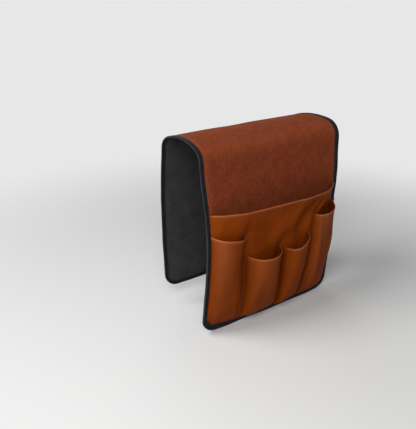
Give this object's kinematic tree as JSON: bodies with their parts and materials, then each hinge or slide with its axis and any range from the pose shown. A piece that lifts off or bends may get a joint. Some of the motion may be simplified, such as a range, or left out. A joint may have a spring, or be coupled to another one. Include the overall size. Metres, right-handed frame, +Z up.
{
  "type": "sofa armrest organizer",
  "caption": "Padded faux-suede sheet that drapes over a sofa arm, with a bound edge, a full-width magazine pocket and smaller bellied pockets for remote controls on its outer flap.",
  "frame": {"origin": "middle of the sheet's underside where it lies on top of the arm", "axes": "+Z up, +X along the arm from left to right when facing the pockets, pockets face -Y, inner tail hangs at +Y"},
  "size_m": [0.33, 0.203, 0.3754],
  "materials": {
    "suede_cover": "matte reddish-brown faux suede",
    "leatherette": "semi-gloss orange-brown leatherette",
    "binding_tape": "matte near-black woven tape",
    "foam_interlining": "matte foam sheet",
    "non_slip_lining": "matte dark cloth with small rubber dots"
  },
  "bodies": {
    "saddle": {"saddle_cover": "suede_cover", "saddle_interlining": "foam_interlining", "saddle_lining": "non_slip_lining", "saddle_binding_left": "binding_tape", "saddle_binding_right": "binding_tape"},
    "outer_flap": {"flap_cover": "suede_cover", "flap_interlining": "foam_interlining", "flap_lining": "non_slip_lining", "flap_binding": "binding_tape", "magazine_pocket": "leatherette", "left_tall_pocket": "leatherette", "left_short_pocket": "leatherette", "right_short_pocket": "leatherette", "right_tall_pocket": "leatherette"},
    "inner_tail": {"tail_cover": "suede_cover", "tail_interlining": "foam_interlining", "tail_lining": "non_slip_lining", "tail_binding": "binding_tape"}
  },
  "joints": [
    {"name": "outer_flap_lift", "type": "hinge", "parent": "saddle", "child": "outer_flap", "pos_m": [0, -0.06656, -0.02859], "axis": [-1, 0, 0], "range_deg": [0, 90]},
    {"name": "inner_tail_lift", "type": "hinge", "parent": "saddle", "child": "inner_tail", "pos_m": [0, 0.06675, -0.03008], "axis": [1, 0, 0], "range_deg": [0, 90]}
  ]
}
